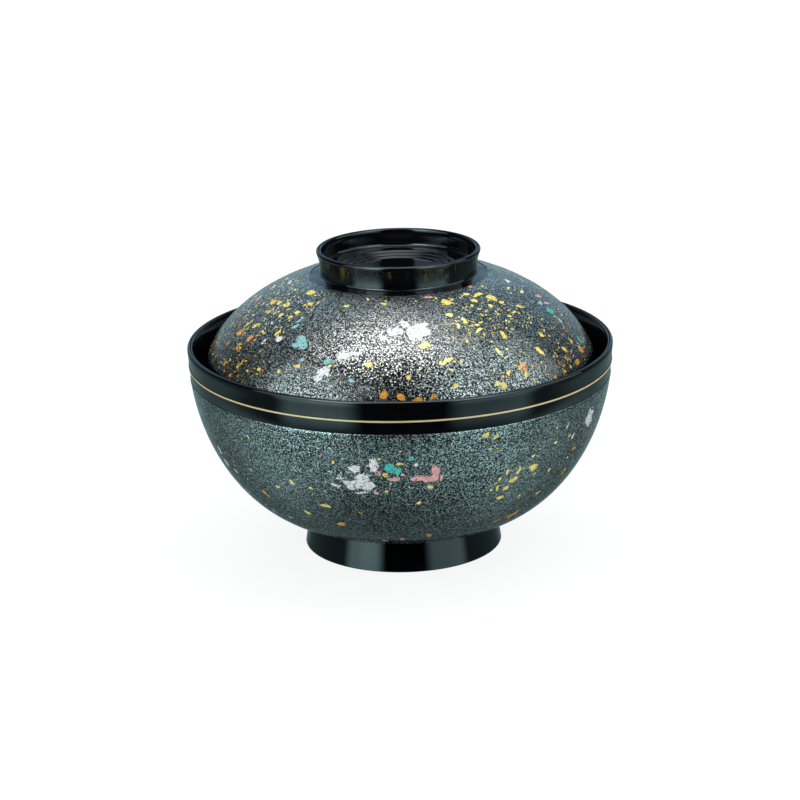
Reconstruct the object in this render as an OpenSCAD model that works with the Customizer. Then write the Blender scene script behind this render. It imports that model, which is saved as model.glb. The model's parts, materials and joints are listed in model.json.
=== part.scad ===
// Lacquer soup bowl with a lift-off lid, turned round one upright axis.
// The origin is the middle of the foot ring's resting plane, and +Z is up.
// Sections are drawn with x as the radius and y as the height, then revolved.

/* [Bowl] */
// Diameter over the lip of the bowl
rim_d = 130; // [112:1:150]
// Height of the bowl from the table to the top of its lip
bowl_h = 65; // [56:1:80]
// Thickness of the lip, which is half round
lip_t = 1.75; // [1.3:0.05:2.2]
// How far the lip stands out past the wall's own curve
lip_flare = 0.25; // [0.1:0.05:0.6]
// Height over which the wall flares out into the lip
flare_h = 5; // [3:0.5:8]
// Thickness of the wall where it runs into the floor
wall_t = 4.6; // [3.6:0.1:6]
// Diameter of the flat floor that the belly curve runs into
floor_d = 48.4; // [40:0.2:54]
// Height of the belly curve's lowest level above the table
belly_z = 9.1; // [7:0.1:12]

/* [Foot ring] */
// Diameter of the foot ring where it stands on the table
foot_d = 61.1; // [59.6:0.1:70]
// Diameter of the foot ring at its root under the belly
foot_root_d = 58.7; // [56:0.1:61]
// Width of the foot ring's resting face and its rounded edges
foot_t = 2.6; // [1.8:0.1:4]
// Depth of the hollow inside the foot ring
foot_hollow = 8.4; // [5:0.1:10]
// Radius of the cove where the foot ring meets the belly
foot_cove = 0.9; // [0.4:0.1:1.5]
// Radius of the foot ring's two lower edges
foot_edge = 0.4; // [0.2:0.1:0.7]
// Thickness of the foot ring at its root
foot_root_t = 2.25; // [1.6:0.05:4]

/* [Lid] */
// How far the lid's edge sinks below the lip of the bowl
lid_sink = 13.3; // [9:0.1:18]
// Running clearance between the lid's edge and the bowl's inner wall
lid_gap = 0.3; // [0.2:0.05:0.6]
// Rise of the dome from its edge to its crown
dome_h = 36.8; // [28:0.2:44]
// Thickness of the lid's edge, which is half round
lid_edge_t = 1.8; // [1.3:0.05:2.4]
// Thickness of the dome under its crown
crown_t = 5.2; // [4.6:0.1:7]

/* [Grip ring] */
// Diameter over the lip of the grip ring
grip_d = 49.9; // [44:0.1:56]
// Diameter of the grip ring at its waist
grip_waist_d = 47.6; // [42:0.1:49]
// Height of the grip ring above the dome at its root
grip_h = 7.5; // [5:0.1:11]
// Thickness of the grip ring's lip, which is half round
grip_t = 1.7; // [1.2:0.05:2.2]
// Radius of the cove where the grip ring meets the dome
grip_cove = 0.8; // [0.4:0.1:1.4]
// Depth of the well inside the grip ring, down to its outer floor
well_deep = 5.5; // [4.6:0.1:6.4]
// Thickness of the grip ring's wall beside the well's floor
grip_wall_t = 0.8; // [0.6:0.1:2.4]
// Radius of the cove between the well's wall and its floor
well_cove = 1; // [0.5:0.1:2]
// Width of the well's outer floor, from its wall to the first turned step
well_flat = 5.6; // [3:0.1:8]
// Fall of each turned step
step_h = 0.45; // [0.2:0.05:0.6]
// Width of the flat between two turned steps
step_flat = 1.4; // [0.8:0.1:2]
// Number of turned steps
step_count = 3; // [2:1:4]

/* [Finish] */
// Thickness of the sprinkled coat over the black lacquer
coat_t = 0.2; // [0.15:0.05:0.4]
// Distance from the bowl's lip down to the start of its sprinkled coat
coat_drop = 9.9; // [8:0.1:14]
// Width of the plain black strip between the coat and the foot ring
coat_foot_gap = 5.9; // [2:0.1:9]
// Distance from the bowl's lip down to the end of the lid's sprinkled coat
lid_coat_drop = 3.5; // [2:0.1:6]
// Width of the plain strip between the lid's coat and the grip ring's cove
coat_grip_gap = 2.3; // [0.3:0.1:4]
// Distance from the lip down to the upper edge of the gold line
gold_drop = 5.5; // [4:0.1:7]
// Width of the gold line
gold_w = 0.7; // [0.4:0.05:1.2]
// Height of the gold line above the black lacquer
gold_t = 0.15; // [0.1:0.05:0.3]

/* [Hidden] */
$fn = 180;

// Share that sets how quickly the wall thickens below the lip
wall_ease_share = 0.5;
// Share of the foot ring's flare that is bowed, while the rest of it is straight
foot_bow_share = 0.25;
// Steps in a long curve, in a short one and in a cove or a rounded edge
long_steps = 22;
short_steps = 3;
round_steps = 8;

black_lacquer = "#0b0c0d";
sprinkled_grey = "#4a544f";
pale_gold = "#d9c48a";

// Bowl: the belly curve is a quarter ellipse from the lip to the flat floor
rim_r = rim_d / 2;
lip_z = bowl_h - lip_t / 2;
floor_r = floor_d / 2;
belly_w = rim_r - lip_flare - floor_r;
belly_h = lip_z - belly_z;
foot_r = foot_d / 2;
foot_root_r = foot_root_d / 2;
foot_in_r = foot_r - foot_t;
hollow_r = foot_root_r - foot_root_t;

// Lid: the dome is a quarter ellipse from its edge to its crown
dome_z = bowl_h - lid_sink + lid_edge_t / 2;
dome_r = inner_wall_r(dome_z) - lid_gap;
grip_r = grip_d / 2;
waist_r = grip_waist_d / 2;
well_r = waist_r - grip_wall_t;
step_r = well_r - well_flat;
grip_top = dome(dome_turn(waist_r + grip_cove)).y + grip_h;
well_floor = grip_top - well_deep;

// Where a height or a radius falls on the two curves, as an angle from 0 to 90
function belly_turn(z) = asin((lip_z - z) / belly_h);
function belly_turn_at(r) = acos((r - floor_r) / belly_w);
function dome_turn(r) = acos(r / dome_r);
function dome_turn_at(z) = asin((z - dome_z) / dome_h);

// A point of the belly curve, the direction out of it, and the wall under it
function flare(z) = lip_flare * pow(max(0, 1 - (lip_z - z) / flare_h), 2);
function belly(t) =
    let (z = lip_z - belly_h * sin(t))
    [floor_r + belly_w * cos(t) + flare(z), z];
function belly_out(t) = unit([cos(t) / belly_w, -sin(t) / belly_h]);
function wall_at(t) = lip_t + (wall_t - lip_t) * pow(sin(t), wall_ease_share);
function inner_belly(t) = belly(t) - wall_at(t) * belly_out(t);

// Radius of the inner wall at a height, found by halving the turn's range
function inner_wall_r(z, low = 0, high = 90, tries = 24) =
    let (mid = (low + high) / 2)
    tries == 0 ? inner_belly(mid).x
    : inner_belly(mid).y > z ? inner_wall_r(z, mid, high, tries - 1)
    : inner_wall_r(z, low, mid, tries - 1);

// A point of the dome, the direction out of it, and the lid's wall under it
function dome(t) = [dome_r * cos(t), dome_z + dome_h * sin(t)];
function dome_out(t) = unit([cos(t) / dome_r, sin(t) / dome_h]);
function lid_wall_at(t) = lid_edge_t + (crown_t - lid_edge_t) * sin(t);
function ceiling(t) = dome(t) - lid_wall_at(t) * dome_out(t);

function unit(v) = v / norm(v);

// Steps of an arc round a centre, and turns along a curve without its first
function arc(centre, radius, from, to) =
    [for (i = [0:round_steps])
        let (a = from + (to - from) * i / round_steps)
        centre + radius * [cos(a), sin(a)]];
function turns(from, to, steps) = [for (i = [1:steps]) from + (to - from) * i / steps];

// Turns at which the finish of the bowl changes, from the lip to the foot ring
gold_top = belly_turn(bowl_h - gold_drop);
gold_foot = belly_turn(bowl_h - gold_drop - gold_w);
coat_top = belly_turn(bowl_h - coat_drop);
coat_foot = belly_turn_at(foot_root_r + foot_cove + coat_foot_gap);
belly_foot = belly_turn_at(foot_root_r + foot_cove);

// Turns at which the finish of the lid changes, from its edge to the grip ring
lid_coat_foot = dome_turn_at(bowl_h - lid_coat_drop);
lid_coat_top = dome_turn(waist_r + grip_cove + coat_grip_gap);
dome_top = dome_turn(waist_r + grip_cove);

bowl_coat_turns = turns(coat_top, coat_foot, long_steps);
lid_coat_turns = turns(lid_coat_foot, lid_coat_top, long_steps);

// How far the foot ring has flared out at a share of the way down it
function foot_bow(s) = (1 - foot_bow_share) * s + foot_bow_share * s * s;

// Outline of the foot ring, from its cove down, across the table and up inside
function foot_outline() =
    let (
        root = belly(belly_foot),
        waist_z = root.y - foot_cove,
        flare_turns = turns(0, 1, round_steps),
        spread = foot_r - foot_root_r
    )
    concat(
        arc([foot_root_r + foot_cove, waist_z], foot_cove, 90, 180),
        [for (s = flare_turns)
            [foot_root_r + spread * foot_bow(s), waist_z + (foot_edge - waist_z) * s]],
        arc([foot_r - foot_edge, foot_edge], foot_edge, 0, -90),
        arc([foot_in_r + foot_edge, foot_edge], foot_edge, -90, -180),
        arc([hollow_r - foot_cove, foot_hollow - foot_cove], foot_cove, 0, 90)
    );

// Outline of the grip ring, from its cove up, over its lip and into the well
function grip_outline() =
    let (
        root = dome(dome_top),
        waist_z = root.y + grip_cove,
        lip_y = grip_top - grip_t / 2,
        flare_turns = turns(0, 1, round_steps),
        spread = grip_r - waist_r
    )
    concat(
        arc([waist_r + grip_cove, waist_z], grip_cove, 270, 180),
        [for (s = flare_turns) [waist_r + spread * s * s, waist_z + (lip_y - waist_z) * s]],
        arc([grip_r - grip_t / 2, lip_y], grip_t / 2, 0, 180),
        arc([well_r - well_cove, well_floor + well_cove], well_cove, 0, -90)
    );

// Steps turned into the well's floor, each a short slope and a flat
function step_outline() =
    [for (i = [0:step_count - 1], low = [0, 1])
        [step_r - i * (step_h + step_flat) - low * step_h, well_floor - (i + low) * step_h]];

// A closed skin of even thickness that lies on a curve between two turns
function skin(under, over) = concat(under, [for (i = [len(over) - 1:-1:0]) over[i]]);

module bowl_body() {
    outside = concat(
        [0],
        turns(0, gold_top, short_steps),
        turns(gold_top, gold_foot, 1),
        turns(gold_foot, coat_top, short_steps),
        bowl_coat_turns,
        turns(coat_foot, belly_foot, short_steps)
    );
    inside = [for (s = turns(1, 0, long_steps)) 90 * s * s];
    color(black_lacquer)
        rotate_extrude()
            polygon(concat(
                [for (t = outside) belly(t)],
                foot_outline(),
                [[0, foot_hollow], [0, inner_belly(90).y], inner_belly(90)],
                [for (t = inside) inner_belly(t)],
                arc([rim_r - lip_t / 2, lip_z], lip_t / 2, 180, 0)
            ));
}

module bowl_sprinkled_coat() {
    covered = concat([coat_top], bowl_coat_turns);
    color(sprinkled_grey)
        rotate_extrude()
            polygon(skin(
                [for (t = covered) belly(t)],
                [for (t = covered) belly(t) + coat_t * belly_out(t)]
            ));
}

module bowl_gold_line() {
    covered = [gold_top, gold_foot];
    color(pale_gold)
        rotate_extrude()
            polygon(skin(
                [for (t = covered) belly(t)],
                [for (t = covered) belly(t) + gold_t * belly_out(t)]
            ));
}

module lid_body() {
    outside = concat(
        turns(0, lid_coat_foot, short_steps),
        lid_coat_turns,
        turns(lid_coat_top, dome_top, 1)
    );
    inside = turns(90, 0, long_steps);
    color(black_lacquer)
        rotate_extrude()
            polygon(concat(
                [ceiling(90)],
                [for (t = inside) ceiling(t)],
                arc([dome_r - lid_edge_t / 2, dome_z], lid_edge_t / 2, -180, 0),
                [for (t = outside) dome(t)],
                grip_outline(),
                step_outline(),
                [[0, well_floor - step_count * step_h]]
            ));
}

module lid_sprinkled_coat() {
    covered = concat([lid_coat_foot], lid_coat_turns);
    color(sprinkled_grey)
        rotate_extrude()
            polygon(skin(
                [for (t = covered) dome(t)],
                [for (t = covered) dome(t) + coat_t * dome_out(t)]
            ));
}

bowl_body();
bowl_sprinkled_coat();
bowl_gold_line();
lid_body();
lid_sprinkled_coat();
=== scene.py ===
# A lacquer soup bowl with a lift-off lid, dressed over the frame of its solid parts

import json
import math
import random

import bpy
from mathutils import Matrix, Vector

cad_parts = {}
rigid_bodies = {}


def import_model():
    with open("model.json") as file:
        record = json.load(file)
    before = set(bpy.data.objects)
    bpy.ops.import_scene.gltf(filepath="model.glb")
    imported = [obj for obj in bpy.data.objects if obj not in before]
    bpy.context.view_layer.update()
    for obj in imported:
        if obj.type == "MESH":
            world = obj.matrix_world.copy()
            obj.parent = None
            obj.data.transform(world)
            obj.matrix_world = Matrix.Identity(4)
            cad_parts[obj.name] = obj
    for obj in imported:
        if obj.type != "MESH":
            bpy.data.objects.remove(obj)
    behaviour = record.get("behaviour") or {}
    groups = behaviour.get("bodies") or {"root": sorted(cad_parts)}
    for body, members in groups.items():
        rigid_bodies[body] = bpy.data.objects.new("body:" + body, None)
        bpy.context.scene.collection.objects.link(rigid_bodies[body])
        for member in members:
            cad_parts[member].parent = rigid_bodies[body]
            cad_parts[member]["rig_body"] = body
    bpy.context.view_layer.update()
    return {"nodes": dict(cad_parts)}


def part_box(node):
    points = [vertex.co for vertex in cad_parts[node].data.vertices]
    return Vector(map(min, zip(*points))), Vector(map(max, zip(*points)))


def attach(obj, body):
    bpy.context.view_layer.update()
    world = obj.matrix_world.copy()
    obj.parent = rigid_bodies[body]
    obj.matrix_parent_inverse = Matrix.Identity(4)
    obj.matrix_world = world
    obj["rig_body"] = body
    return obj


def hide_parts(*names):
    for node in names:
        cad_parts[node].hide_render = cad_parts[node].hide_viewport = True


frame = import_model()
mm = 0.001

# Camera: a long lens that looks a little down on the bowl
image_width = 800
lens_pixels = 2596.3
sensor_width = 36
camera_distance = 0.8
camera_elevation = math.radians(17.63)
camera_roll = math.radians(-1.11)
aim = Vector((-0.35 * mm, 0, 45.09 * mm))
nearest_seen = 0.05
farthest_seen = 20

camera = bpy.data.objects.new("camera", bpy.data.cameras.new("camera"))
bpy.context.scene.collection.objects.link(camera)
bpy.context.scene.camera = camera
camera.data.sensor_width = sensor_width
camera.data.lens = lens_pixels / image_width * sensor_width
camera.data.clip_start = nearest_seen
camera.data.clip_end = farthest_seen
back = Vector((0, -math.cos(camera_elevation), math.sin(camera_elevation)))
camera.location = aim + camera_distance * back
camera.rotation_mode = "QUATERNION"
upright = (-back).to_track_quat("-Z", "Y")
camera.rotation_quaternion = upright @ Matrix.Rotation(camera_roll, 3, "Z").to_quaternion()

bpy.context.scene.view_settings.view_transform = "Standard"


# Shader maths
class Wire:
    """An output of a finish's node. Plain arithmetic on it adds the Math nodes."""

    def __init__(self, finish, socket):
        self.finish = finish
        self.socket = socket

    def math(self, operation, a, b):
        return self.finish.math(operation, a, b)

    def __add__(self, other):
        return self.math("ADD", self, other)

    def __radd__(self, other):
        return self.math("ADD", other, self)

    def __sub__(self, other):
        return self.math("SUBTRACT", self, other)

    def __rsub__(self, other):
        return self.math("SUBTRACT", other, self)

    def __mul__(self, other):
        return self.math("MULTIPLY", self, other)

    def __rmul__(self, other):
        return self.math("MULTIPLY", other, self)

    def rise(self, low, high):
        """0 below low and 1 above high, with a soft climb between them."""
        return self.finish.add(
            "ShaderNodeMapRange",
            {"interpolation_type": "SMOOTHSTEP"},
            {"Value": self, "From Min": low, "From Max": high},
        )


class Finish:
    """The node tree of a material, or of the sky round the bowl, under construction."""

    def __init__(self, owner):
        self.owner = owner
        owner.use_nodes = True
        self.tree = owner.node_tree
        self.tree.nodes.clear()

    def add(self, kind, settings=None, inputs=None, output=0):
        """A node of this kind, with its settings first and then its sockets."""
        node = self.tree.nodes.new(kind)
        for key, value in (settings or {}).items():
            setattr(node, key, value)
        for key, value in (inputs or {}).items():
            if isinstance(value, Wire):
                self.tree.links.new(value.socket, node.inputs[key])
            else:
                node.inputs[key].default_value = value
        return Wire(self, node.outputs[output]) if node.outputs else node

    def place(self):
        return self.add("ShaderNodeTexCoord", output="Object")

    def math(self, operation, *values):
        return self.add("ShaderNodeMath", {"operation": operation}, dict(enumerate(values)))

    def axes(self, vector):
        """The three numbers of a vector."""
        parts = self.add("ShaderNodeSeparateXYZ", inputs={0: vector}).socket.node
        return [Wire(self, part) for part in parts.outputs]

    def vector(self, x, y, z):
        return self.add("ShaderNodeCombineXYZ", inputs={0: x, 1: y, 2: z})

    def vectors(self, operation, a, b, output=0):
        return self.add("ShaderNodeVectorMath", {"operation": operation}, {0: a, 1: b}, output)

    def mix(self, factor, a, b):
        """A colour between a and b."""
        return self.add("ShaderNodeMix", {"data_type": "RGBA"}, {0: factor, 6: a, 7: b}, 2)

    def noise(self, vector, size, detail=2, roughness=0.5):
        """Soft noise with features of this size, in metres."""
        return self.add(
            "ShaderNodeTexNoise",
            inputs={"Vector": vector, "Scale": 1 / size, "Detail": detail, "Roughness": roughness},
        )

    def cells(self, vector, size, output="Color"):
        """Grains of this size, in metres, each with a colour or distance of its own."""
        return self.add(
            "ShaderNodeTexVoronoi", inputs={"Vector": vector, "Scale": 1 / size}, output=output
        )

    def bump(self, height, strength, depth):
        """A normal that makes the surface stand proud by this depth, in metres, at height 1."""
        return self.add(
            "ShaderNodeBump", inputs={"Height": height, "Strength": strength, "Distance": depth}
        )

    def surface(self, **sockets):
        """The Principled surface itself, each socket named in lower case with _ for a space."""
        named = {
            key.replace("_", " ").title().replace("Ior", "IOR"): value
            for key, value in sockets.items()
        }
        shader = self.add("ShaderNodeBsdfPrincipled", inputs=named)
        self.add("ShaderNodeOutputMaterial", inputs={"Surface": shader})
        return self.owner


def colour(red, green, blue):
    return (red, green, blue, 1)


# Black lacquer
swell_size = 9 * mm
swell_depth = 0.3 * mm
haze_size = 3 * mm


def black_lacquer():
    """Deep black gloss, polished by hand, so that it is not quite even."""
    lacquer = Finish(bpy.data.materials.new("black_lacquer"))
    place = lacquer.place()
    swell = lacquer.noise(place, swell_size)
    haze = lacquer.noise(place, haze_size, 4)
    clear_black = colour(0.0006, 0.0008, 0.001)
    hazy_black = colour(0.002, 0.0024, 0.003)
    return lacquer.surface(
        base_color=lacquer.mix(haze, clear_black, hazy_black),
        roughness=0.04 + 0.05 * haze,
        ior=1.5,
        normal=lacquer.bump(swell, 0.06, swell_depth),
    )


# Sprinkled coat: grains of metal powder, and brush strokes counted per metre
grain_size = 0.24 * mm
grain_tilt = 0.36
powder_size = 0.18 * mm
patch_size = 14 * mm
strokes_along = 30
strokes_across = 1500


def sprinkled_coat(name, lean, top, edge, sown, shine):
    """Metal powder sown on black lacquer, brushed round the piece and sealed under a clear coat.

    The brush went level round the piece. Its strokes lie side by side along the slope, for which
    lean is 1 where the piece widens upwards and -1 where it narrows. More powder is laid within
    edge of the coat's top, as a painted highlight line where that edge catches the light. sown is
    how much of it there is, and shine how bright it is.
    """
    coat = Finish(bpy.data.materials.new(name))
    place = coat.place()
    x, y, z = coat.axes(place)
    radius = coat.vectors("LENGTH", coat.vector(x, y, 0), (0, 0, 0), "Value")
    across = z + lean * radius

    grains = coat.cells(place, grain_size)
    red, green, blue = coat.axes(grains)
    fine, tint, spread = coat.axes(coat.cells(place, powder_size))
    patches = coat.noise(place, patch_size, 3)
    brushed = coat.vector(strokes_along * x, strokes_along * y, strokes_across * across)
    strokes = coat.noise(brushed, 1).rise(0.47, 0.36)

    # Metal lies where chance is high, which is in patches, and near the coat's top it is laid
    # thicker as a painted highlight line where that edge catches the light
    chance = red + 0.3 * fine + 0.3 * patches + 0.5 * z.rise(top - edge, top)
    cover = chance.rise(1.2 - sown, 1.3 - sown) * (1 - 0.4 * strokes)

    # Each grain is duller or brighter, and so is the lacquer between the grains
    spark = (green + 0.3 * spread).rise(0.2, 1)
    ground = coat.mix(tint, colour(0.001, 0.002, 0.0022), colour(0.006, 0.011, 0.012))
    dull = colour(0.05, 0.06, 0.06)
    bright = colour(0.95 * shine, shine, 0.97 * shine)
    metal = coat.mix(spark, dull, bright)
    laid = coat.mix(cover, ground, metal)

    # Each grain leans its own way, so that some catch the light and others don't
    tilt = coat.vectors("SUBTRACT", grains, (0.5, 0.5, 0.5))
    tilt = coat.vectors("MULTIPLY", tilt, (grain_tilt, grain_tilt, grain_tilt))
    facing = coat.add("ShaderNodeNewGeometry", output="Normal")
    facing = coat.vectors("NORMALIZE", coat.vectors("ADD", facing, tilt), (0, 0, 0))
    return coat.surface(
        base_color=laid,
        metallic=0.1 + 0.85 * cover,
        roughness=0.17 + 0.15 * blue,
        specular_ior_level=0,
        normal=facing,
        coat_weight=1.0,
        coat_roughness=0.12,
        coat_ior=1.4,
    )


# Gold line
brush_edge = 0.3 * mm
wear_size = 2.5 * mm
gold_dust_size = 0.35 * mm
gold_dust_depth = 0.05 * mm


def gold_line(low, high):
    """A line of pale gold drawn with a fine brush, thin and brown along its two edges."""
    gold = Finish(bpy.data.materials.new("gold_line"))
    place = gold.place()
    z = gold.axes(place)[2]
    body = z.rise(low, low + brush_edge) * (1 - z.rise(high - brush_edge, high))
    wear = gold.noise(place, wear_size, 3)
    dust = gold.noise(place, gold_dust_size)
    laid = gold.mix(wear, colour(0.78, 0.58, 0.28), colour(1, 0.88, 0.58))
    return gold.surface(
        base_color=gold.mix(body, colour(0.1, 0.05, 0.012), laid),
        metallic=0.2,
        roughness=0.25 + 0.2 * dust,
        normal=gold.bump(dust, 0.3, gold_dust_depth),
    )


# Metal leaf
crumple_size = 0.9 * mm
crumple_depth = 0.12 * mm
fold_size = 1.3 * mm
pinhole_size = 0.7 * mm


def leaf(name, pale, deep):
    """Torn metal leaf, crumpled as it was laid, with pinholes that show the ground."""
    foil = Finish(bpy.data.materials.new(name))
    place = foil.place()
    crumple = foil.noise(place, crumple_size, 4, 0.65)
    fold = foil.cells(place, fold_size, "Distance")
    holes = foil.noise(place, pinhole_size).rise(0.4, 0.36)
    tone = foil.mix(crumple.rise(0.35, 0.65), deep, pale)
    ground = colour(0.02, 0.025, 0.025)
    return foil.surface(
        base_color=foil.mix(holes * 0.9, tone, ground),
        metallic=0.15,
        roughness=0.32 + 0.25 * crumple,
        normal=foil.bump(crumple + 0.5 * fold, 0.5, crumple_depth),
        coat_weight=1.0,
        coat_roughness=0.04,
        coat_ior=1.5,
    )


# Making pieces
turning_steps = 128
merge_gap = 0.002 * mm
flat_angle = math.radians(0.2)
crisp_angle = math.radians(38)
smooth_angle = math.radians(50)
edge_round = 0.09 * mm
line_round = 0.04 * mm


def pick(piece):
    """Makes this the one object that the next operators work on."""
    bpy.ops.object.select_all(action="DESELECT")
    piece.hide_viewport = False
    piece.select_set(True)
    bpy.context.view_layer.objects.active = piece


def apply(piece, kind, **settings):
    """Shapes the piece by a modifier of this kind and makes the result its mesh."""
    modifier = piece.modifiers.new(kind.lower(), kind)
    for key, value in settings.items():
        setattr(modifier, key, value)
    pick(piece)
    bpy.ops.object.modifier_apply(modifier=modifier.name)


def turned(node, material, rounded=edge_round):
    """The turned piece for a solid part: the part's own section, spun round the upright axis."""
    source = frame["nodes"][node]
    piece = bpy.data.objects.new("turned_" + node, source.data.copy())
    bpy.context.scene.collection.objects.link(piece)
    pick(piece)
    bpy.ops.object.mode_set(mode="EDIT")
    bpy.ops.mesh.select_all(action="SELECT")
    bpy.ops.mesh.remove_doubles(threshold=merge_gap)

    # The cut through the axis is kept, and of it the half at one side
    bpy.ops.mesh.bisect(
        plane_co=(0, 0, 0), plane_no=(0, 1, 0), clear_inner=True, clear_outer=True
    )
    bpy.ops.mesh.select_all(action="SELECT")
    bpy.ops.mesh.bisect(plane_co=(0, 0, 0), plane_no=(1, 0, 0), clear_inner=True)
    bpy.ops.mesh.select_all(action="SELECT")
    bpy.ops.mesh.remove_doubles(threshold=merge_gap)
    bpy.ops.mesh.dissolve_limited(angle_limit=flat_angle)
    bpy.ops.mesh.select_all(action="SELECT")
    bpy.ops.mesh.spin(
        steps=turning_steps, angle=2 * math.pi, center=(0, 0, 0), axis=(0, 0, 1)
    )
    bpy.ops.mesh.select_all(action="SELECT")
    bpy.ops.mesh.remove_doubles(threshold=merge_gap)
    bpy.ops.mesh.normals_make_consistent(inside=False)

    # Crisp edges stay, and all others are smoothed
    bpy.ops.mesh.select_all(action="DESELECT")
    bpy.ops.mesh.edges_select_sharp(sharpness=crisp_angle)
    bpy.ops.transform.edge_crease(value=1)
    bpy.ops.object.mode_set(mode="OBJECT")
    apply(piece, "SUBSURF", levels=1, render_levels=1)
    apply(
        piece, "BEVEL", width=rounded, segments=2, limit_method="ANGLE", angle_limit=crisp_angle
    )
    pick(piece)
    bpy.ops.object.shade_smooth_by_angle(angle=smooth_angle)
    piece.data.materials.clear()
    piece.data.materials.append(material)
    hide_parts(node)
    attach(piece, source["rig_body"])
    return piece


lacquer = black_lacquer()
lacquered = bpy.data.collections.new("lacquered")
for node in ("bowl_body", "lid_body"):
    lacquered.objects.link(turned(node, lacquer))
gold_low, gold_high = (corner.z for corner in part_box("bowl_gold_line"))
turned("bowl_gold_line", gold_line(gold_low, gold_high), line_round)
bowl_coat_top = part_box("bowl_sprinkled_coat")[1].z
lid_coat_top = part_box("lid_sprinkled_coat")[1].z
# The bowl's coat is the lid's coat with duller metal, shine 0.93 against 1, which paints shade on
# the bowl where less light reaches it
bowl_finish = sprinkled_coat(
    "sprinkled_bowl", lean=1, top=bowl_coat_top, edge=0.5 * mm, sown=0.37, shine=0.93
)
coated_bowl = turned("bowl_sprinkled_coat", bowl_finish)
lid_finish = sprinkled_coat(
    "sprinkled_lid", lean=-1, top=lid_coat_top, edge=0.15 * mm, sown=0.39, shine=1
)
coated_lid = turned("lid_sprinkled_coat", lid_finish)

# Leaf: listed chips of metal leaf, with splinters strewn between them
chip_lift = 0.03 * mm
chip_thickness = 0.02 * mm
sight_distance = 200 * mm

# A chip is one piece up to this many mm across, and frays into many from this many square mm
whole_up_to = 3.3
frayed_from = 24
splinters_per_area = 0.4
splinter_sizes = (0.4, 1.5)
speck_sizes = (0.3, 0.9)
leaf_finishes = {
    "silver": leaf("silver_leaf", colour(0.98, 0.97, 0.97), colour(0.7, 0.7, 0.72)),
    "gold": leaf("gold_leaf", colour(1, 0.83, 0.2), colour(0.95, 0.64, 0.08)),
    "orange": leaf("orange_leaf", colour(1, 0.5, 0.07), colour(0.8, 0.28, 0.02)),
    "turquoise": leaf("turquoise_leaf", colour(0.06, 0.6, 0.5), colour(0.01, 0.42, 0.36)),
    "mint": leaf("mint_leaf", colour(0.36, 0.66, 0.66), colour(0.2, 0.46, 0.48)),
    "pink": leaf("pink_leaf", colour(0.95, 0.5, 0.48), colour(0.75, 0.3, 0.3)),
    "straw": leaf("straw_leaf", colour(1, 0.92, 0.36), colour(0.88, 0.74, 0.16)),
}


def torn_chip(corners, tear, seed):
    """A flat torn chip, one unit across, with a point amid its corners so that it can bend."""
    bpy.ops.object.select_all(action="DESELECT")
    bpy.ops.mesh.primitive_circle_add(vertices=corners, radius=0.5, fill_type="NGON")
    chip = bpy.context.object
    bpy.ops.object.mode_set(mode="EDIT")
    bpy.ops.mesh.select_all(action="SELECT")
    bpy.ops.transform.vertex_random(offset=tear, uniform=0.2, seed=seed)
    bpy.ops.transform.resize(value=(1, 1, 0))
    bpy.ops.mesh.select_all(action="SELECT")
    bpy.ops.mesh.poke()
    bpy.ops.object.mode_set(mode="OBJECT")
    shape = chip.data
    bpy.data.objects.remove(chip)
    return shape


large_chips = [torn_chip(corners=8, tear=0.28, seed=seed) for seed in range(10)]
small_chips = [torn_chip(corners=5, tear=0.26, seed=seed) for seed in range(10, 18)]


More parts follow.
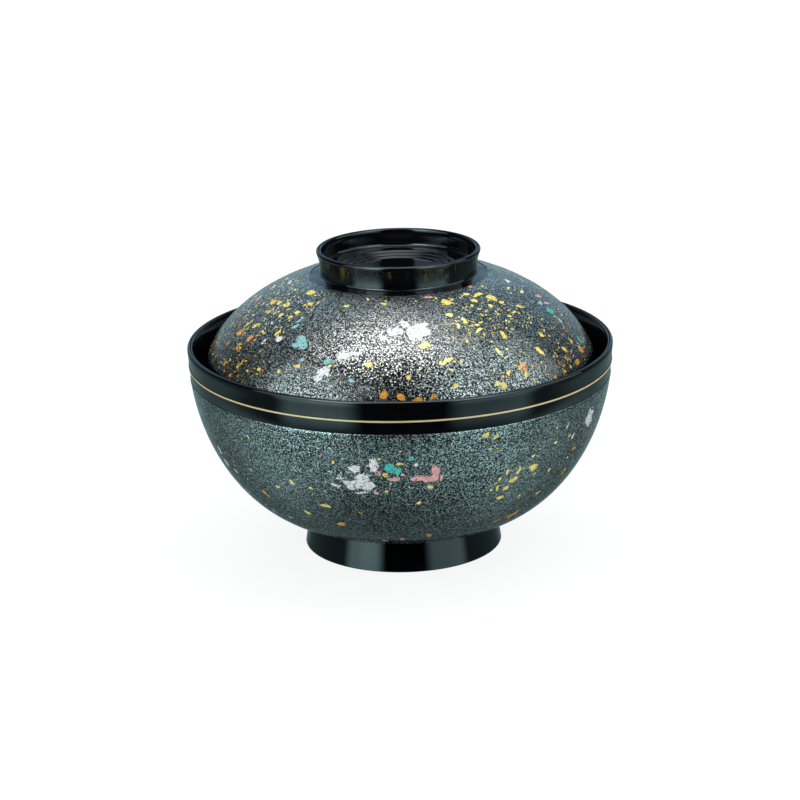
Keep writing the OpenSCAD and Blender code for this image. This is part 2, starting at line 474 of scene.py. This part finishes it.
class Decoration:
    """The leaf on one piece: chips are laid on its coat, then joined colour by colour."""

    def __init__(self, piece, name, seed):
        self.piece = piece
        self.name = name
        self.chance = random.Random(seed)
        self.chips = {}

    def seat(self, turn, height):
        """The place on the coat at this turn from the front and height, with its directions."""
        out = Vector((math.sin(math.radians(turn)), -math.cos(math.radians(turn)), 0))
        start = out * sight_distance + Vector((0, 0, height * mm))
        spot, normal = self.piece.ray_cast(start, -out)[1:3]
        along = Vector((0, 0, 1)).cross(normal).normalized()
        return spot, along, normal.cross(along), normal

    def beside(self, width, tall, near, far):
        """A step from the middle of a chip, between these shares of its size."""
        angle = self.chance.uniform(0, 2 * math.pi)
        reach = self.chance.uniform(near, far)
        return width * reach * math.cos(angle), tall * reach * math.sin(angle)

    def chip(self, kind, turn, height, width, tall, shapes, shift=(0, 0), slant=0):
        """One torn piece: it is turned, stretched to its size, slanted and set on the coat."""
        spot, along, up, normal = self.seat(turn, height)
        spot = spot + along * shift[0] * mm + up * shift[1] * mm
        frame_of_chip = Matrix((along, up, normal)).transposed().to_4x4()
        shape = self.chance.choice(shapes).copy()
        shape.transform(
            Matrix.Translation(spot)
            @ frame_of_chip
            @ Matrix.Rotation(math.radians(slant), 4, "Z")
            @ Matrix.Diagonal((width * mm, tall * mm, mm, 1))
            @ Matrix.Rotation(self.chance.uniform(0, 2 * math.pi), 4, "Z")
        )
        self.chips.setdefault(kind, []).append(shape)

    def lay(self, kind, turn, height, width, tall, slant=0):
        """One listed chip, of pieces that overlap where it is larger, with splinters round it."""
        area = width * tall
        if area > frayed_from:
            pieces, shares, spread, shapes = round(5 + area), (0.2, 0.45), 0.38, small_chips
        elif max(width, tall) > whole_up_to:
            pieces, shares, spread, shapes = 3, (0.65, 0.95), 0.16, small_chips
        else:
            pieces, shares, spread, shapes = 1, (1, 1), 0, large_chips
        for _ in range(pieces):
            share = self.chance.uniform(*shares)
            step = self.beside(width, tall, near=0, far=spread)
            self.chip(kind, turn, height, width * share, tall * share, shapes, step, slant)
        for _ in range(round(splinters_per_area * area)):
            step = self.beside(width, tall, near=0.45, far=0.65)
            self.splinter(kind, turn, height, self.chance.uniform(*speck_sizes), step)

    def splinter(self, kind, turn, height, size, step=(0, 0)):
        """A small chip, longer than it is wide, that lies any way round."""
        slender = self.chance.uniform(0.2, 0.65)
        slant = self.chance.uniform(0, 180)
        self.chip(kind, turn, height, size, size * slender, small_chips, step, slant)

    def dust(self, count, turns, heights, kinds, sizes=splinter_sizes):
        """Splinters strewn between these turns and heights, most of them near the least size."""
        for _ in range(count):
            kind = self.chance.choices(list(kinds), list(kinds.values()))[0]
            size = sizes[0] + (sizes[1] - sizes[0]) * self.chance.random() ** 2
            self.splinter(kind, self.chance.uniform(*turns), self.chance.uniform(*heights), size)

    def finish(self, body):
        """Joins the chips of each colour, lets them down on the coat and gives them thickness."""
        for kind, shapes in self.chips.items():
            bpy.ops.object.select_all(action="DESELECT")
            for shape in shapes:
                chip = bpy.data.objects.new(self.name + "_" + kind, shape)
                bpy.context.scene.collection.objects.link(chip)
                chip.select_set(True)
            bpy.context.view_layer.objects.active = chip
            bpy.ops.object.join()
            laid = bpy.context.view_layer.objects.active
            laid.name = self.name + "_" + kind + "_leaf"
            apply(
                laid,
                "SHRINKWRAP",
                target=self.piece,
                wrap_method="NEAREST_SURFACEPOINT",
                wrap_mode="ABOVE_SURFACE",
                offset=chip_lift,
            )
            apply(laid, "SOLIDIFY", thickness=chip_thickness, offset=1)
            pick(laid)
            bpy.ops.object.shade_smooth_by_angle(angle=smooth_angle)
            laid.data.materials.clear()
            laid.data.materials.append(leaf_finishes[kind])
            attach(laid, body)


# Each chip has its turn from the front in degrees, its height above the table, its width and how
# tall it is, in mm, and a long one its slant in degrees. Most turns and heights are not chosen by
# hand: other scripts worked them out from places read off the photograph, and report.md says how.
bowl_leaf = {
    "silver": [
        (-13.5, 38.4, 6.6, 4),
        (-12.7, 43.9, 3.6, 3.2),
        (-11.2, 41, 4.2, 4),
        (-9.1, 38.2, 4.1, 3.4),
        (-17.4, 40.3, 3.4, 0.9, 10),
        (-19, 37.7, 3.2, 1.1, 160),
        (-11.8, 35.7, 3.3, 0.9),
        (-7.6, 45.4, 2.9, 4.8),
        (3.5, 45.5, 1, 1),
        (62, 47.6, 5.8, 6.2),
        (50, 49, 1.9, 0.7, 60),
        (54, 44.5, 1.8, 1.2, 70),
        (59, 20, 3.2, 1, 25),
        (-65, 38.7, 3.6, 1.4, 110),
        (-64, 34.8, 2.6, 2.4),
        (-59, 33.3, 2, 1, 115),
        (-52, 20.5, 2.4, 1, 150),
        (-43, 20.6, 1.8, 0.9, 150),
        (55, 37, 1, 1),
    ],
    "turquoise": [(-3.6, 44.6, 3.2, 3.2), (-1.8, 43.6, 3.2, 3.2), (2.2, 47.4, 1.2, 1.6)],
    "pink": [
        (-2.2, 40.8, 3.3, 1.6),
        (-6.6, 42.7, 1.7, 1.4),
        (0.1, 42.2, 1, 1),
        (4.4, 40.9, 3.3, 2.4),
        (2.9, 40.6, 2.2, 1.6),
        (6.4, 40.6, 2.8, 2.2),
        (8.5, 43.1, 2.4, 3.3),
        (8.7, 40.8, 3.3, 3),
        (10.5, 40.4, 1.2, 1.9),
        (-7.3, 35.9, 1.6, 1),
        (-7.5, 15, 1.8, 2.2),
        (-0.5, 16, 1.8, 2),
    ],
    "gold": [
        (-0.8, 45.9, 2.4, 1),
        (-4.6, 42.2, 2.3, 1.4),
        (-6.1, 47.5, 1.1, 1),
        (22, 53, 2, 1.6),
        (25, 52, 1.9, 1.3, 40),
        (39, 38.5, 3.4, 2.6, 30),
        (33, 36, 3, 2, 30),
        (34, 38.8, 2.4, 1.2, 75),
        (28, 37.2, 1.6, 1.1, 140),
        (28, 34.1, 2, 1.1, 100),
        (31, 33.4, 2.2, 1.6),
        (30, 30, 2.4, 1.4, 20),
        (47, 35.3, 1.6, 1.2, 110),
        (-24, 29.5, 3, 1.5),
        (-32, 25.3, 2.8, 1.2, 145),
        (-4.5, 36.5, 1.2, 1.1),
    ],
    "orange": [
        (42, 20.5, 6, 2.2, 38),
        (35, 19.5, 3.2, 1, 25),
        (57, 31.5, 3.6, 1.6, 68),
        (57, 39.5, 2, 1.4),
        (-47, 29, 4, 1.6, 122),
        (-21, 22.4, 2.6, 2.2),
        (9.5, 17.5, 1.8, 2.4),
    ],
    "straw": [
        (7.5, 37.5, 1.5, 1.4),
        (4.5, 32, 1.7, 1.6),
        (30, 39.2, 2, 0.9, 80),
        (27, 35.8, 1.5, 0.8, 60),
        (26, 33.7, 1.1, 1.1),
        (38, 42.7, 1.4, 1.1),
        (46, 45, 1.3, 1.1),
        (47, 27.2, 2.6, 0.8, 40),
        (38, 28.8, 1.6, 0.7, 70),
        (-45, 49, 2, 0.7, 125),
        (-39, 33.5, 1.5, 1.2),
        (-33, 36.6, 2, 1.2, 130),
        (-27, 35.6, 1.3, 1),
        (52, 45.4, 1.2, 1),
    ],
}
lid_leaf = {
    "silver": [
        (6.8, 78.8, 7, 6.4),
        (2, 80.6, 3.3, 3),
        (-0.5, 79.4, 3, 2.6),
        (-3.2, 79.2, 3.3, 3),
        (-6.6, 77.9, 2.9, 1.8),
        (10.4, 80.4, 2.5, 1.8),
        (-46.9, 75, 2.4, 2.4),
        (-53, 73.4, 2.6, 0.9, 80),
        (-25.6, 68, 3.3, 3.2),
        (-24.2, 69.4, 3.3, 3.2),
        (-19.8, 73.6, 3.2, 3.2),
        (-17.6, 74, 3, 2.4),
        (-14.6, 74.4, 2.8, 1.2, 10),
        (82, 83.6, 3, 1.6),
    ],
    "mint": [
        (-37.6, 75.8, 3.3, 3.3),
        (-35.4, 74.8, 3.3, 3),
        (-38.2, 74.7, 3, 2.4),
        (-44.3, 78.2, 3, 1.2, 50),
        (-44.9, 79.4, 2.4, 0.8, 70),
        (-24, 72.1, 3.2, 2.5),
        (-33, 71.6, 1.5, 1),
        (-37, 64.8, 1.6, 1.5),
        (-15, 68, 1.4, 1.2),
        (76, 78.2, 2.6, 1.6),
        (74, 73.5, 2, 1.8),
    ],
    "turquoise": [(75, 76.1, 3.6, 3.2), (76, 67.5, 2.4, 3.6)],
    "straw": [
        (8.9, 76.1, 3.2, 2.2),
        (15.8, 72.5, 3.2, 1.6, 20),
        (13.6, 71.9, 2.4, 1.4, 20),
        (31, 77.9, 3.4, 1.4, 20),
        (32, 79, 1.6, 1),
        (28, 80.2, 3.6, 1.2, 100),
        (24, 79.4, 2.4, 1.1, 80),
        (23, 81.7, 2, 1.8),
        (34, 72.5, 3, 1.2, 110),
        (29, 65.2, 1.8, 1.4),
        (76, 81.4, 3, 1.2),
        (72, 83, 2.6, 1.2),
        (54, 79.4, 1.8, 0.8),
        (-10, 72, 2, 1.8),
        (-23, 71, 1.3, 1.1),
        (-40, 68, 1.4, 1.2),
        (-28, 83.6, 1.5, 1.6),
    ],
    "gold": [
        (2.3, 69, 1.4, 1.2),
        (16, 66.2, 2.2, 1.3),
        (-72, 80.6, 3, 2.4, 30),
        (-67, 81, 2.2, 2.2),
        (-61, 81.2, 2.4, 2),
        (-58, 84.4, 3, 2.6, 40),
        (-48, 82.8, 1.9, 1.8),
        (-50, 80.8, 2, 1.4),
        (-57, 79.4, 2.4, 1.3, 80),
        (-51, 79.6, 2.2, 1.3, 80),
        (-66, 79, 1.8, 1.6),
        (-64, 75.8, 2.6, 1.4, 40),
        (-50, 76, 3.2, 1.2, 70),
        (-48, 67.2, 1.6, 1.3),
        (-34, 70, 2.1, 1.2),
        (-58, 65.8, 1.6, 1),
        (26, 84, 3.2, 3),
        (41, 84.7, 2.6, 1.6),
        (48, 84.1, 5, 1.3),
        (52, 83, 3, 3.2, 120),
        (41, 83.4, 2.1, 1.6),
        (54, 81.7, 2, 1.6),
        (46, 81.8, 1.6, 1.3),
        (61, 79.8, 3.8, 1.4, 150),
        (40, 75.8, 4, 1.4, 80),
        (56, 73.2, 2.2, 1.3, 110),
        (50, 70.2, 4, 1.8, 115),
        (40, 65.8, 1.7, 1.5),
        (31, 64.6, 2.9, 1.8, 130),
        (34, 67.3, 1.6, 1.4),
        (62, 68.1, 2.6, 1.3, 120),
        (69, 68.9, 2, 1.1, 110),
    ],
    "orange": [
        (40, 68, 4, 2.6),
        (-5, 64.8, 2.3, 2.6),
        (0, 64.2, 2.6, 2.1),
        (4.8, 63.2, 2.4, 1.6),
        (9.4, 64.1, 2, 1.6),
        (-70, 72.6, 3.4, 2.4),
        (-61, 73, 2.8, 1.8, 60),
        (-66, 65, 2.4, 1.2, 80),
        (-60, 63, 2, 1),
        (-57, 67.3, 2.2, 1, 80),
        (-64, 70.3, 2.4, 1.2, 80),
        (-72, 69.3, 2.6, 1.3, 70),
        (50, 85.6, 2, 1.6),
        (60, 66, 2, 1.2, 110),
        (65, 63.6, 2.6, 1.8),
        (72, 65.5, 3.4, 1.6, 110),
        (51, 62.9, 1.6, 1),
        (56, 63.2, 2, 1.2),
    ],
    "pink": [(82, 79, 4.6, 1.6, 150), (80, 77.4, 3.6, 1.4, 150), (17, 85.2, 2.6, 1.2)],
}

# Each zone of splinters has their number, its turns in degrees, its heights in mm and the share of
# each colour
pale = {"straw": 7, "gold": 4, "silver": 2}
ember = {"orange": 6, "gold": 4}
mixed = {"gold": 4, "straw": 3, "orange": 2, "silver": 3, "mint": 1, "pink": 1}
bowl_dust = [
    (16, (22, 50), (28, 50), {"gold": 4, "straw": 5, "silver": 2}),
    (8, (28, 62), (16, 32), {"orange": 3, "gold": 3, "straw": 1}),
    (9, (-38, 15), (14, 34), {"gold": 6, "orange": 4, "straw": 2}),
    (34, (-75, -48), (18, 48), {"silver": 6, "pink": 1}),
    (34, (-21, -7), (35, 43), {"silver": 1}),
    (26, (-26, 14), (34, 50), {"pink": 3, "straw": 3, "silver": 4, "gold": 2}),
]
lid_dust = [
    (320, (-96, -44), (75, 85), pale),
    (170, (-84, -46), (62.5, 75), ember),
    (14, (-30, 22), (83, 85.2), {"gold": 5, "straw": 4}),
    (210, (18, 62), (76, 85), {"straw": 5, "gold": 4}),
    (80, (28, 62), (63, 76), {"straw": 5, "gold": 4, "orange": 2}),
    (110, (55, 88), (62.5, 76), ember),
    (24, (65, 95), (74, 84), {"pink": 3, "silver": 4, "mint": 1}),
    (50, (-38, 25), (62.8, 74), {"silver": 5, "straw": 3, "mint": 1, "gold": 2}),
]


def decorate(piece, body, chips, zones, specks, heights, far_turn, seed):
    """Lays the leaf on the front and again, turned round, on the far side, and specks all over."""
    work = Decoration(piece, body, seed)
    for offset in (0, far_turn):
        for kind, places in chips.items():
            for turn, *rest in places:
                work.lay(kind, turn + offset, *rest)
        for count, (first, last), levels, kinds in zones:
            work.dust(count, (first + offset, last + offset), levels, kinds)
    work.dust(specks, (-180, 180), heights, mixed, speck_sizes)
    work.finish(body)


decorate(
    coated_bowl, "bowl", bowl_leaf, bowl_dust, specks=50, heights=(13, 53.5), far_turn=196, seed=3
)
decorate(
    coated_lid, "lid", lid_leaf, lid_dust, specks=120, heights=(62.5, 85), far_turn=190, seed=5
)

# Floor: it glows for the camera alone, a little less near the bowl, where its shadow shows
floor_reach = 4
floor_grain = 2 * mm
floor_glow = 1.08
floor_glow_near = 0.82
floor_fade_from = 0.12
floor_fade_to = 0.5
white = colour(1, 1, 1)


def pale_floor():
    """A pale matt floor that the camera sees as white, with the bowl's shadow on it."""
    floor = Finish(bpy.data.materials.new("pale_floor"))
    place = floor.place()
    grain = floor.noise(place, floor_grain)
    matt = floor.add(
        "ShaderNodeBsdfDiffuse",
        inputs={"Color": floor.mix(grain, colour(0.74, 0.74, 0.74), colour(0.78, 0.78, 0.78))},
    )
    glow = floor.add("ShaderNodeEmission", inputs={"Color": white, "Strength": floor_glow})
    seen = floor.add("ShaderNodeLightPath", output="Is Camera Ray")
    away = floor.vectors("LENGTH", place, (0, 0, 0), "Value").rise(floor_fade_from, floor_fade_to)
    share = seen * (floor_glow_near + (1 - floor_glow_near) * away)
    shown = floor.add("ShaderNodeMixShader", inputs={0: share, 1: matt, 2: glow})
    floor.add("ShaderNodeOutputMaterial", inputs={"Surface": shown})
    return floor.owner


bpy.ops.mesh.primitive_circle_add(vertices=64, radius=floor_reach, fill_type="NGON")
ground = bpy.context.object
ground.name = "ground"
ground.visible_glossy = False
ground.data.materials.append(pale_floor())

# Glow that gloss mirrors: each panel has its turns in degrees, its soft border and its strength
panels = [(-68, -27, 7, 2.1), (29, 74, 7, 1.5), (-52, -29, 8, 0.8)]
far_walls = 0.17
behind_bowl = 0.43
beside_doorway = 0.4
behind_view = 0.4
overhead_glow = 3.9
table_glow = 0.68
daylight = 0.4
table_tint = colour(0.6, 0.94, 0.97)
cool = colour(0.5, 0.79, 1)
cool_white = colour(0.79, 0.95, 0.98)


def between(wire, low, high, soft):
    """1 between low and high, with soft borders."""
    return wire.rise(low - soft, low + soft) * (1 - wire.rise(high - soft, high + soft))


def studio_sky():
    """The studio round the bowl: even daylight, and for gloss the glow of each direction.

    x, y and z are the direction looked at, to the right, away from the front and up.
    """
    sky = Finish(bpy.data.worlds.new("studio"))
    towards = sky.add("ShaderNodeTexCoord", output="Generated")
    x, y, z = sky.axes(towards)
    down = 0 - z
    around = sky.math("MULTIPLY", sky.math("ARCTAN2", x, 0 - y), 180 / math.pi)

    # Panels left and right, no higher than the bowl
    walls = far_walls * (1 - between(around, -60, 60, 15))
    for low, high, soft, strength in panels:
        walls = walls + between(around, low, high, soft) * strength
    walls = walls * z.rise(-0.57, -0.33) * (1 - z.rise(0.06, 0.18))

    # A glow behind the bowl, with a dark doorway in it and a lighter strip at each side
    doorway = between(x, -0.12, 0.12, 0.05) * between(z, 0.2, 0.42, 0.06)
    behind = (y + 0.6 * z).rise(0.75, 1.05) * z.rise(-0.4, 0) * (1 - doorway) * behind_bowl
    beside = between(x * x, 0.02, 0.08, 0.012) * between(z, 0.2, 0.5, 0.08)
    beside = beside * y.rise(0.2, 0.7) * beside_doorway

    # The pale backdrop straight behind, which only grazing edges mirror
    ahead = -back
    backdrop = (ahead.y * y + ahead.z * z).rise(0.982, 0.995) * behind_view

    # A glow overhead, towards the back, and the pale table below, dark under the bowl
    overhead = (z + 0.06 * x).rise(0.76, 1.03)
    overhead = overhead * overhead * y.rise(-0.35, 0) * overhead_glow
    table = (down + 0.2 * y).rise(0.4, 0.5) * (1 - 0.8 * y.rise(0.05, 0.65))
    table = table * (1 - 0.85 * down.rise(0.75, 1)) * table_glow

    seen = behind + beside + backdrop + overhead + table + walls
    tint = sky.mix(z.rise(0.7, 0.95), cool, white)
    tint = sky.mix(z.rise(-0.1, 0), table_tint, tint)
    camera_ray = sky.add("ShaderNodeLightPath", output="Is Camera Ray")
    glossy_ray = sky.add("ShaderNodeLightPath", output="Is Glossy Ray")
    lit = glossy_ray * seen + (1 - glossy_ray) * daylight
    shade = sky.add(
        "ShaderNodeBackground",
        inputs={
            "Color": sky.mix(glossy_ray, white, tint),
            "Strength": camera_ray + (1 - camera_ray) * lit,
        },
    )
    sky.add("ShaderNodeOutputWorld", inputs={"Surface": shade})
    return sky.owner


bpy.context.scene.world = studio_sky()

# Lamps: soft ones at both sides and overhead, and four panels for the black lacquer alone
lamp_distance = 0.75
lamp_centre = Vector((0, 0, 50 * mm))


def soft_box(name, turn, rise, width, height, radiance, tint, distance=lamp_distance):
    """A soft light panel that faces the bowl from this turn and rise, in degrees."""
    turn = math.radians(turn)
    rise = math.radians(rise)
    level = Vector((math.sin(turn), -math.cos(turn), 0))
    out = level * math.cos(rise) + Vector((0, 0, math.sin(rise)))
    lamp = bpy.data.objects.new(name, bpy.data.lights.new(name, "AREA"))
    bpy.context.scene.collection.objects.link(lamp)
    lamp.data.shape = "RECTANGLE"
    lamp.data.size = width
    lamp.data.size_y = height
    lamp.data.energy = radiance * math.pi * width * height
    lamp.data.color = tint[:3]
    lamp.location = lamp_centre + distance * out
    lamp.rotation_mode = "QUATERNION"
    lamp.rotation_quaternion = (-out).to_track_quat("-Z", "Y")
    return lamp


soft_box("left_lamp", -55, 32, width=0.75, height=0.6, radiance=1.4, tint=cool_white)
soft_box("right_lamp", 76, 34, width=0.95, height=0.6, radiance=1.35, tint=cool_white)
on_lacquer = [
    soft_box("left_panel", -47, 43, width=0.5, height=0.5, radiance=2.6, tint=cool),
    soft_box("right_panel", 50, 43, width=0.5, height=0.5, radiance=1.7, tint=cool),
    soft_box("left_glint", -40, 42, width=0.28, height=0.2, radiance=9, tint=cool_white),
    soft_box("right_glint", 42, 42, width=0.28, height=0.2, radiance=5, tint=cool_white),
]
for lamp in on_lacquer:
    lamp.light_linking.receiver_collection = lacquered
overhead_panel = soft_box(
    "overhead_panel", 165, 80, width=1.2, height=0.66, radiance=2.6, tint=white, distance=0.8
)
overhead_panel.visible_glossy = False
